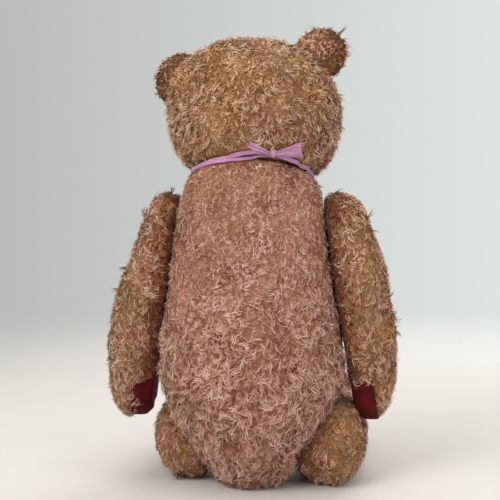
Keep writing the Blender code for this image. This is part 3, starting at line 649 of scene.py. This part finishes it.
TURN_UP = (ALOFT * 0.6 + ASIDE * 0.8).normalized()
TURN_DOWN = (ALOFT * 0.8 - ASIDE * 0.6).normalized()
RIBBON_PARTS = [
    wrapped(FOLD, KNOT_TURN - FULL, KNOT_TURN, lambda t: 0.0008, band_size, 3, 150),
    wrapped(STRING, KNOT_TURN - STRING_TURN, KNOT_TURN, string_drop, lambda t: 1.0, 5, 50),
    tail(RIGHT_TAIL, TAIL_OVER, 0.0035, 0.0009, 7),
    tail(LEFT_TAIL, TAIL_OVER, 0.003, 0.0008, 8),
    loop_over(KNOT - TO_CAMERA * 0.0008, TO_CAMERA, ALOFT, 0.0039, 0.0062, 0.1, math.pi - 0.1, 11),
    loop_over(KNOT + ALOFT * 0.0006, TO_CAMERA, TURN_UP, 0.0036, 0.0042, 0.0, math.pi, 12),
    loop_over(KNOT - ALOFT * 0.0012, TO_CAMERA, TURN_DOWN, 0.0032, 0.0036, 0.1, math.pi, 13),
]
ribbon = linked("knotted_ribbon", mesh_from("knotted_ribbon", RIBBON_PARTS))
dress(ribbon, SATIN, "head", "lilac_ribbon", "neck_ribbon")
RIBBON_TREE = tree_of(ribbon.data)


# ---------------------------------------------------------------- eyes, nose and mouth

HEAD_TURN = math.radians(-15)
FACING = Matrix.Rotation(NECK_LEAN, 3, "X") @ Matrix.Rotation(HEAD_TURN, 3, "Z")
AHEAD = (FACING @ Vector((0, -1, 0))).normalized()
ACROSS = NECK_AXIS.cross(AHEAD).normalized()


def tube(path, radius, sides=6, twist=0.0):
    """A thread along a path, with closed ends."""
    points, faces = [], []
    for j, place in enumerate(path):
        way = (path[min(j + 1, len(path) - 1)] - path[max(j - 1, 0)]).normalized()
        side = way.cross(Vector((0.3, 0.2, 0.93))).normalized()
        up = way.cross(side)
        size = radius * (0.55 if j in (0, len(path) - 1) else 1.0)
        for k in range(sides):
            a = 2 * math.pi * k / sides + twist * j
            points.append(place + (side * math.cos(a) + up * math.sin(a)) * size)
    for j in range(len(path) - 1):
        for k in range(sides):
            n = (k + 1) % sides
            faces.append((j * sides + k, j * sides + n, (j + 1) * sides + n, (j + 1) * sides + k))
    faces.append(tuple(reversed(range(sides))))
    faces.append(tuple(range((len(path) - 1) * sides, len(path) * sides)))
    return points, faces


def stitches(node, apart, radius, seed):
    """Threads laid side by side from the upper to the lower edge of a stitched patch."""
    dice = np.random.default_rng(seed)
    patch = tree_of(NODES[node].data)
    corners = [v.co for v in NODES[node].data.vertices]
    middle = sum(corners, Vector()) / len(corners)
    reach = max(abs((c - middle).dot(ACROSS)) for c in corners)
    tall = max(abs((c - middle).dot(NECK_AXIS)) for c in corners)
    made = []
    for k in range(int(2 * reach / apart)):
        a = -reach + apart * (k + 0.5)
        hits = []
        for b in np.arange(-tall, tall, 0.0006):
            hit = patch.ray_cast(middle + AHEAD * 0.03 + ACROSS * a + NECK_AXIS * float(b), -AHEAD)[0]
            if hit is not None:
                hits.append(hit + AHEAD * 0.0004)
        if len(hits) > 3:
            spill = float(dice.uniform(0, 0.0007))
            low, high = hits[0] - NECK_AXIS * spill, hits[-1] + NECK_AXIS * spill
            path = [low - AHEAD * 0.0012, *hits, high - AHEAD * 0.0012]
            made.append(tube(path, radius * float(dice.uniform(0.85, 1.15))))
    return made


WOOL = MATERIALS["wool"]
for side in SIDES:
    button = skin(f"{side}_boot_button", [f"{side}_eye"], 0.0007, 5, 0.0, 91)
    dress(button, MATERIALS["eye"], "head", "black_boot_button", f"{side}_eye")
threads = stitches("nose_stitching", 0.0011, 0.00075, 4)
nose = linked("nose_threads", mesh_from("nose_threads", threads))
dress(nose, WOOL, "head", "black_wool_thread", "nose_stitching")
mouth = skin("mouth_threads", ["mouth_stitching"], 0.0005, 2, 0.0001, 93)
dress(mouth, WOOL, "head", "black_wool_thread", "mouth_stitching")
FACE = ("left_eye", "right_eye", "nose_stitching", "mouth_stitching")
FACE_TREE = tree_of(*[NODES[name].data for name in FACE])


# ---------------------------------------------------------------- pile


def samples(mesh, count, dice):
    """Random places on a mesh, alike in number for the same area, with their smooth normals.

    A count below 1 is a spacing instead: one place for each square of that side.
    """
    mesh.calc_loop_triangles()
    corners = np.empty(len(mesh.loop_triangles) * 3, np.int32)
    mesh.loop_triangles.foreach_get("vertices", corners)
    corners = corners.reshape(-1, 3)
    co = np.empty(len(mesh.vertices) * 3)
    mesh.vertices.foreach_get("co", co)
    co = co.reshape(-1, 3)
    no = np.empty(len(mesh.vertices) * 3, np.float32)
    mesh.vertex_normals.foreach_get("vector", no)
    no = no.reshape(-1, 3).astype(float)
    a, b, c = (co[corners[:, k]] for k in range(3))
    area = np.linalg.norm(np.cross(b - a, c - a), axis=1) / 2
    if count < 1:
        count = int(area.sum() / count**2)
    tri = dice.choice(len(area), count, p=area / area.sum())
    u, v = dice.random((2, count, 1))
    over = u + v > 1
    u, v = np.where(over, 1 - u, u), np.where(over, 1 - v, v)
    w = 1 - u - v
    t = corners[tri]
    places = w * co[t[:, 0]] + u * co[t[:, 1]] + v * co[t[:, 2]]
    normals = w * no[t[:, 0]] + u * no[t[:, 1]] + v * no[t[:, 2]]
    return places, unit(normals)


def unit(v):
    return v / np.maximum(np.linalg.norm(v, axis=-1, keepdims=True), 1e-12)


def spaced(places, normals, apart):
    """The places kept when none may be nearer than apart to another."""
    tree = kdtree.KDTree(len(places))
    for k, place in enumerate(places):
        tree.insert(place, k)
    tree.balance()
    gone = np.zeros(len(places), bool)
    kept = []
    for k, place in enumerate(places):
        if not gone[k]:
            kept.append(k)
            for _, other, _ in tree.find_range(place, apart):
                gone[other] = True
    return places[kept], normals[kept]


def tufts(part, count, seed):
    """A few long dark locks that stand out of the pile."""
    dice = np.random.default_rng(seed)
    places, normals = samples(SKINS[part].data, count, dice)
    rows = np.repeat(np.arange(count), 9)
    m = len(rows)
    lean = np.array([0, 0, -0.4]) + dice.normal(0, 0.5, (count, 3))[rows] + dice.normal(0, 0.15, (m, 3))
    rise = np.radians(np.array([(72, 25)]) + dice.normal(0, 8, (m, 2)))
    tone = (BAND_NAMES.index("brown") + dice.uniform(0.2, 0.95, m)) / len(BANDS)
    roots = places[rows] + dice.normal(0, 0.0007, (m, 3))
    long = dice.uniform(0.009, 0.014, count)[rows] * dice.uniform(0.7, 1, m)
    curl = dice.normal(0, 0.8, count)[rows]
    wide = dice.uniform(0.0005, 0.0009, m)
    return strands(6, roots, normals[rows], lean, long, rise, curl, tone, wide, dice)


def distances(tree, places, most=0.03):
    found = (tree.find_nearest(Vector(p), most) for p in places)
    return np.array([most if f[3] is None else f[3] for f in found])


def strands(k, root, normal, flow, length, lift, curl, tone, width, dice, flat_by=0.5):
    """Curved tapering strands of k points, one a row of the arrays.

    Their map has tone across, and root to tip along.
    """
    n = len(root)
    ahead = unit(flow - (flow * normal).sum(1, keepdims=True) * normal)
    side = np.cross(normal, ahead)
    along = (np.arange(k - 1) + 0.5) / (k - 1)
    turn = curl[:, None] * along
    rise = lift[:, 0:1] + (lift[:, 1:2] - lift[:, 0:1]) * along
    step = (length / (k - 1))[:, None]
    move = (
        (step * np.cos(rise) * np.cos(turn))[..., None] * ahead[:, None]
        + (step * np.cos(rise) * np.sin(turn))[..., None] * side[:, None]
        + (step * np.sin(rise))[..., None] * normal[:, None]
    )
    path = np.concatenate([np.zeros((n, 1, 3)), np.cumsum(move, 1)], 1) + root[:, None]
    path[..., 2] = np.maximum(path[..., 2], 0.0006)
    way = unit(np.gradient(path, axis=1))
    tilt = dice.normal(0, flat_by, (n, 1, 1))
    face = unit(np.cos(tilt) * normal[:, None] + np.sin(tilt) * side[:, None])
    out = unit(np.cross(way, np.broadcast_to(face, way.shape)))
    up = np.cross(out, way)
    at = np.linspace(0, 1, k)
    half = width[:, None] / 2 * (1 - 0.72 * at**1.6)
    left = path - out * half[..., None]
    right = path + out * half[..., None]
    bent = 0.55 * up + 0.45 * normal[:, None]
    points = np.empty((n, 2 * k - 1, 3), np.float32)
    shade = np.empty_like(points)
    points[:, 0 : 2 * k - 2 : 2], points[:, 1 : 2 * k - 2 : 2] = left[:, :-1], right[:, :-1]
    shade[:, 0 : 2 * k - 2 : 2] = unit(bent - 0.7 * out)[:, :-1]
    shade[:, 1 : 2 * k - 2 : 2] = unit(bent + 0.7 * out)[:, :-1]
    points[:, -1], shade[:, -1] = path[:, -1], unit(bent[:, -1])
    loops, sizes = [], []
    for j in range(k - 2):
        loops += [2 * j, 2 * j + 1, 2 * j + 3, 2 * j + 2]
        sizes.append(4)
    loops += [2 * k - 4, 2 * k - 3, 2 * k - 2]
    sizes.append(3)
    loops = np.array(loops)
    across = np.where(loops == 2 * k - 2, 0.0, np.where(loops % 2, 0.004, -0.004))
    uv = np.stack([tone[:, None] + across, np.broadcast_to((loops // 2) / (k - 1), (n, len(loops)))], -1)
    return points.reshape(-1, 3), shade.reshape(-1, 3), loops, sizes, uv.reshape(-1, 2)


def mesh_of(name, coats):
    """One mesh of several coats of strands."""
    points, shades, corners, starts, uvs, base, at = [], [], [], [], [], 0, 0
    for co, shade, loops, sizes, uv in coats:
        n = len(uv) // len(loops)
        each = len(co) // n
        rows = np.arange(n)[:, None]
        corners.append((base + rows * each + loops).ravel())
        starts.append((at + rows * len(loops) + np.concatenate([[0], np.cumsum(sizes)[:-1]])).ravel())
        base, at = base + len(co), at + len(uv)
        points.append(co)
        shades.append(shade)
        uvs.append(uv)
    corner, start = np.concatenate(corners), np.concatenate(starts)
    mesh = bpy.data.meshes.new(name)
    mesh.vertices.add(base)
    mesh.vertices.foreach_set("co", np.concatenate(points).ravel())
    mesh.loops.add(len(corner))
    mesh.loops.foreach_set("vertex_index", corner.astype(np.int32))
    mesh.polygons.add(len(start))
    mesh.polygons.foreach_set("loop_start", start.astype(np.int32))
    mesh.update(calc_edges=True)
    uv = np.concatenate(uvs).astype(np.float32)
    mesh.uv_layers.new(name="OFBake").uv.foreach_set("vector", uv.ravel())
    free = mesh.attributes.new("custom_normal", "FLOAT_VECTOR", "POINT")
    free.data.foreach_set("vector", np.concatenate(shades).ravel())
    mesh.polygons.foreach_set("use_smooth", np.ones(len(start), bool))
    mesh.calc_loop_triangles()
    print(name, len(mesh.loop_triangles), "triangles", flush=True)
    return mesh


NEARBY = 0.026  # pile within this of another part is painted darker, as shade in the crevice between them; on the limbs it also takes the rust locks, painted as the red-brown of that shade


def coat(
    part, apart, each, points, length, width, mix, seed, shade=0.0, lift=(55, -20), keep=None, grow=None
):
    """Locks of mohair all over a skin: each a few strands that leave it apart and meet at their tips."""
    dice = np.random.default_rng(seed)
    mesh = SKINS[part].data
    places, normals = samples(mesh, apart / 2.2, dice)
    if keep is not None:
        wanted = keep(places, normals)
        places, normals = places[wanted], normals[wanted]
    places, normals = spaced(places, normals, apart)
    size, close = np.ones(len(places)), np.full(len(places), NEARBY)
    for other, tree in TREES.items():
        if other != part:
            far = distances(tree, places, NEARBY)
            size *= np.clip((far - 0.0008) / 0.005, 0, 1)
            close = np.minimum(close, far)
    if part in ("head", "body"):
        away = places - np.array(NECK)
        turn = np.arctan2(away @ np.array(RIGHT), away @ np.array(NAPE))
        shown = rising(turn, -1.0, -0.8) * (1 - rising(turn, 1.25, 1.45))
        spread = 0.0085 if part == "head" else 0.003
        clear = np.clip((distances(RIBBON_TREE, places, 0.012) - 0.0012) / spread, 0, 1)
        size *= 1 - shown * (1 - clear)
    if part == "head":
        size *= np.clip((distances(FACE_TREE, places, 0.014) - 0.0012) / 0.0095, 0, 1)
    if part in SEAMS:
        near = np.sort([distances(tree, places, 0.004) for tree in SEAMS[part]], axis=0)
        size *= np.where(near[1] < 0.0016, 0.66, 1.0)
    if part in PAD_TREES:
        size *= distances(PAD_TREES[part], places, 0.004) > 0.0012
    bald = wavy(places, 0.035, 5) + 0.5 * wavy(places, 0.014, 6)
    size *= np.clip(1.0 - 0.7 * np.maximum(bald - 0.6, 0), 0.4, 1)
    if grow is not None:
        size *= grow(places, normals)
    kept = size > 0.25
    places, normals, size, close = places[kept], normals[kept], size[kept], close[kept]
    n = len(places)
    swirl = np.stack([wavy(places, 0.02, 10 + k) for k in range(3)], 1)
    fine = np.stack([wavy(places, 0.009, 14 + k) for k in range(3)], 1)
    flow = unit(np.array([0, 0, -0.7]) + 0.75 * swirl + 0.7 * fine + 0.3 * dice.normal(size=(n, 3)))
    bend = 1.6 * wavy(places, 0.011, 18) + dice.normal(0, 1.5, n)
    long = length * size * dice.uniform(0.7, 1.3, n)
    shares = mix(places, normals)
    names = list(shares)
    weight = np.stack([np.broadcast_to(np.asarray(v, float), n) for v in shares.values()], 1)
    weight = weight * np.exp(np.stack([wavy(places, 0.04, 30 + k) for k in range(len(names))], 1))
    weight /= weight.sum(1, keepdims=True)
    lot = 0.5 + 0.3 * wavy(places, 0.022, 40) + dice.normal(0, 0.16, n)
    pick = (weight.cumsum(1) < lot.clip(0.001, 0.999)[:, None]).sum(1).clip(0, len(names) - 1)
    band = np.array([BAND_NAMES.index(x) for x in names])[pick]
    # painted shade: on the limbs, locks near another part take the dark rust band, nearly all of them on the
    # arms
    if part.endswith(("arm", "leg")):
        share = 0.95 if part.endswith("arm") else 0.4
        crevice_shade = dice.random(n) < share * (1 - rising(close, 0.008, 0.025))
        band = np.where(crevice_shade, BAND_NAMES.index("rust"), band)
    else:
        # on the head and body the painted crevice shade reaches only a third as far
        close = np.minimum(close * 3, NEARBY)
    light = 0.5 + shade + 0.12 * wavy(places, 0.016, 21) + 0.07 * wavy(places, 0.05, 22)
    # painted shade: locks are darker the nearer they stand to another part
    light += dice.normal(0, 0.12, n) - 0.3 * (1 - close / NEARBY)
    rows = np.repeat(np.arange(n), each)
    m = len(rows)
    up = normals[rows]
    t = unit(flow[rows] - (flow[rows] * up).sum(1, keepdims=True) * up)
    turn = dice.uniform(0, 2 * math.pi, m)[:, None]
    reach = apart * 0.62 * np.sqrt(dice.random(m))[:, None]
    off = reach * (np.cos(turn) * t + np.sin(turn) * np.cross(up, t))
    long = long[rows] * dice.uniform(0.7, 1.15, m)
    lean = flow[rows] * long[:, None] * 1.6 - off * 1.3 + dice.normal(0, 0.0013, (m, 3))
    rise = np.radians(np.array([lift]) + dice.normal(0, 12, (m, 2)))
    bright = (light[rows] + dice.normal(0, 0.11, m)).clip(0.04, 0.96)
    stray = dice.random(m) < 0.07
    band = np.where(stray, band[dice.integers(0, n, m)], band[rows])
    return strands(
        points, places[rows] + off - 0.0006 * up, up, lean, long, rise,
        bend[rows] + dice.normal(0, 0.45, m), (band + bright) / len(BANDS),
        dice.uniform(*width, m), dice,
    )


def pile(
    name, part, body, slot, length, mix, seed,
    keep=None, grow=None, lift=(55, -20), fine=1.0, thin=1.0, stray=0,
):
    """A piece of pile: a dense under coat, a longer top coat and a few stray tufts."""
    wide, slim = np.array([(0.0008, 0.0013), (0.0005, 0.0009)]) * thin
    # the under coat is painted darker, as shade down among the locks, and the top coat a little lighter
    under = coat(part, 0.0032 * fine, 5, 3, length * 0.6, wide, mix, seed, -0.2, (42, 0), keep, grow)
    over = coat(part, 0.0050 * fine, 6, 6, length, slim, mix, seed + 1, 0.12, lift, keep, grow)
    coats = [under, over] + ([tufts(part, stray, seed + 2)] if stray else [])
    dress(linked(name, mesh_of(name, coats)), PILE, body, slot)


def body_mix(p, n):
    edge = rising(np.abs(p[:, 0]), 0.05, 0.085)
    top = rising(p[:, 2], 0.27, 0.315)
    return {"pink": 6 - edge, "beige": 1.3 + 1.6 * edge, "tan": 0.25 + 2.5 * top, "rust": 0.15}


def head_mix(p, n):
    blush = rising(-p[:, 0], 0.0, 0.05) * rising(0.41 - p[:, 2], 0.0, 0.05)
    return {"tan": 6.0, "beige": 1.8 + 1.5 * blush, "pink": 0.3 + 3 * blush, "olive": 0.9}


MUZZLE = np.array(NECK + NECK_AXIS * 0.048 + AHEAD * 0.125)


def head_length(p, n):
    return 0.5 + 0.5 * rising(np.linalg.norm(p - MUZZLE, axis=1), 0.04, 0.075)


def front_mix(p, n):
    worn = 1 - rising(np.linalg.norm(p - MUZZLE, axis=1), 0.045, 0.08)
    return head_mix(p, n) | {"beige": 1.8 + 5 * worn}


def left_mix(p, n):
    outer = rising(np.abs(p[:, 0]), 0.10, 0.135)
    return {"pink": 3.4 - 2.2 * outer, "beige": 3.2, "tan": 0.5, "olive": 0.3 + 1.2 * outer}


def right_mix(p, n):
    outer = rising(np.abs(p[:, 0]), 0.09, 0.125)
    return {"pink": 1.4 - outer, "beige": 2.6, "tan": 2.4, "olive": 0.6 + 2.0 * outer}


LIMB_MIX = {"left": left_mix, "right": right_mix}


def leg_mix(p, n):
    outer = rising(np.abs(p[:, 0]), 0.076, 0.092)
    return {"pink": 5.5 * (1 - outer), "beige": 2.2, "tan": 0.4 + 2.2 * outer, "olive": 0.1 + 1.5 * outer}


def ear_coat(side):
    """How long and of which locks an ear's pile is.

    It is longer round the rim, and bald and pink in the right one's middle.
    """
    verts = np.array([v.co for v in SKINS[f"{side}_ear"].data.vertices])
    middle = verts.mean(0)
    thin = np.linalg.eigh(np.cov((verts - middle).T))[1][:, 0]
    fringe, centre = (1.15, 2.5) if side == "right" else (0.25, 0.0)

    def rim(p, n):
        return rising(1 - np.abs(n @ thin), 0.35, 0.8)

    def length(p, n):
        return 0.75 + fringe * rim(p, n)

    def mix(p, n):
        inner = 1 - rising(np.linalg.norm(p - middle, axis=1), 0.008, 0.022)
        brown = 3.2 - 2 * inner * (centre > 0)
        return {"brown": brown, "tan": 2.0 * rim(p, n) + 0.8, "pink": 0.3 + centre * inner}

    return length, mix


def body_length(p, n):
    return 0.75 + 0.45 * rising(0.25 - p[:, 2], 0.0, 0.14)


def back(p, n):
    return p[:, 1] >= CENTRE_Y


def low_back(p, n):
    return back(p, n) & (p[:, 2] < 0.17)


def high_back(p, n):
    return back(p, n) & (p[:, 2] >= 0.17)


def front(p, n):
    return ~back(p, n)


pile(
    "body_pile_low_back", "body", "body", PINK, 0.0098, body_mix, 100,
    low_back, body_length, fine=0.86, thin=0.85,
)
pile(
    "body_pile_high_back", "body", "body", PINK, 0.0092, body_mix, 105,
    high_back, body_length, fine=0.82, thin=0.8,
)
pile("body_pile_front", "body", "body", PINK, 0.0100, body_mix, 110, front, body_length, fine=1.16)
pile(
    "head_pile_back", "head", "head", TAN, 0.0095, head_mix, 200,
    back, lift=(62, -10), fine=0.9, thin=0.9,
)
pile(
    "head_pile_front", "head", "head", TAN, 0.0088, front_mix, 210,
    front, head_length, lift=(62, -10), fine=1.1,
)
for k, side in enumerate(SIDES):
    arm, leg = f"{side}_arm", f"{side}_leg"
    pile(
        f"{arm}_pile", arm, arm, TAN, 0.0095, LIMB_MIX[side], 300 + 50 * k,
        lift=(50, -35), fine=0.95, stray=24,
    )
    pile(
        f"{leg}_pile", leg, leg, TAN, 0.0085, leg_mix, 400 + 50 * k,
        lift=(50, -30), fine=1.12, stray=18,
    )
    ear_length, ear_mix = ear_coat(side)
    pile(
        f"{side}_ear_pile", f"{side}_ear", "head", "brown_ear_pile", 0.0082, ear_mix, 500 + 50 * k,
        grow=ear_length, lift=(62, 5), fine=0.7, thin=0.85,
    )


# ---------------------------------------------------------------- inside pieces, eyes and stitching

for name, ob in NODES.items():
    kind = name.rsplit("_", 1)[1]
    if kind in MATERIALS:
        wear(ob, MATERIALS[kind])
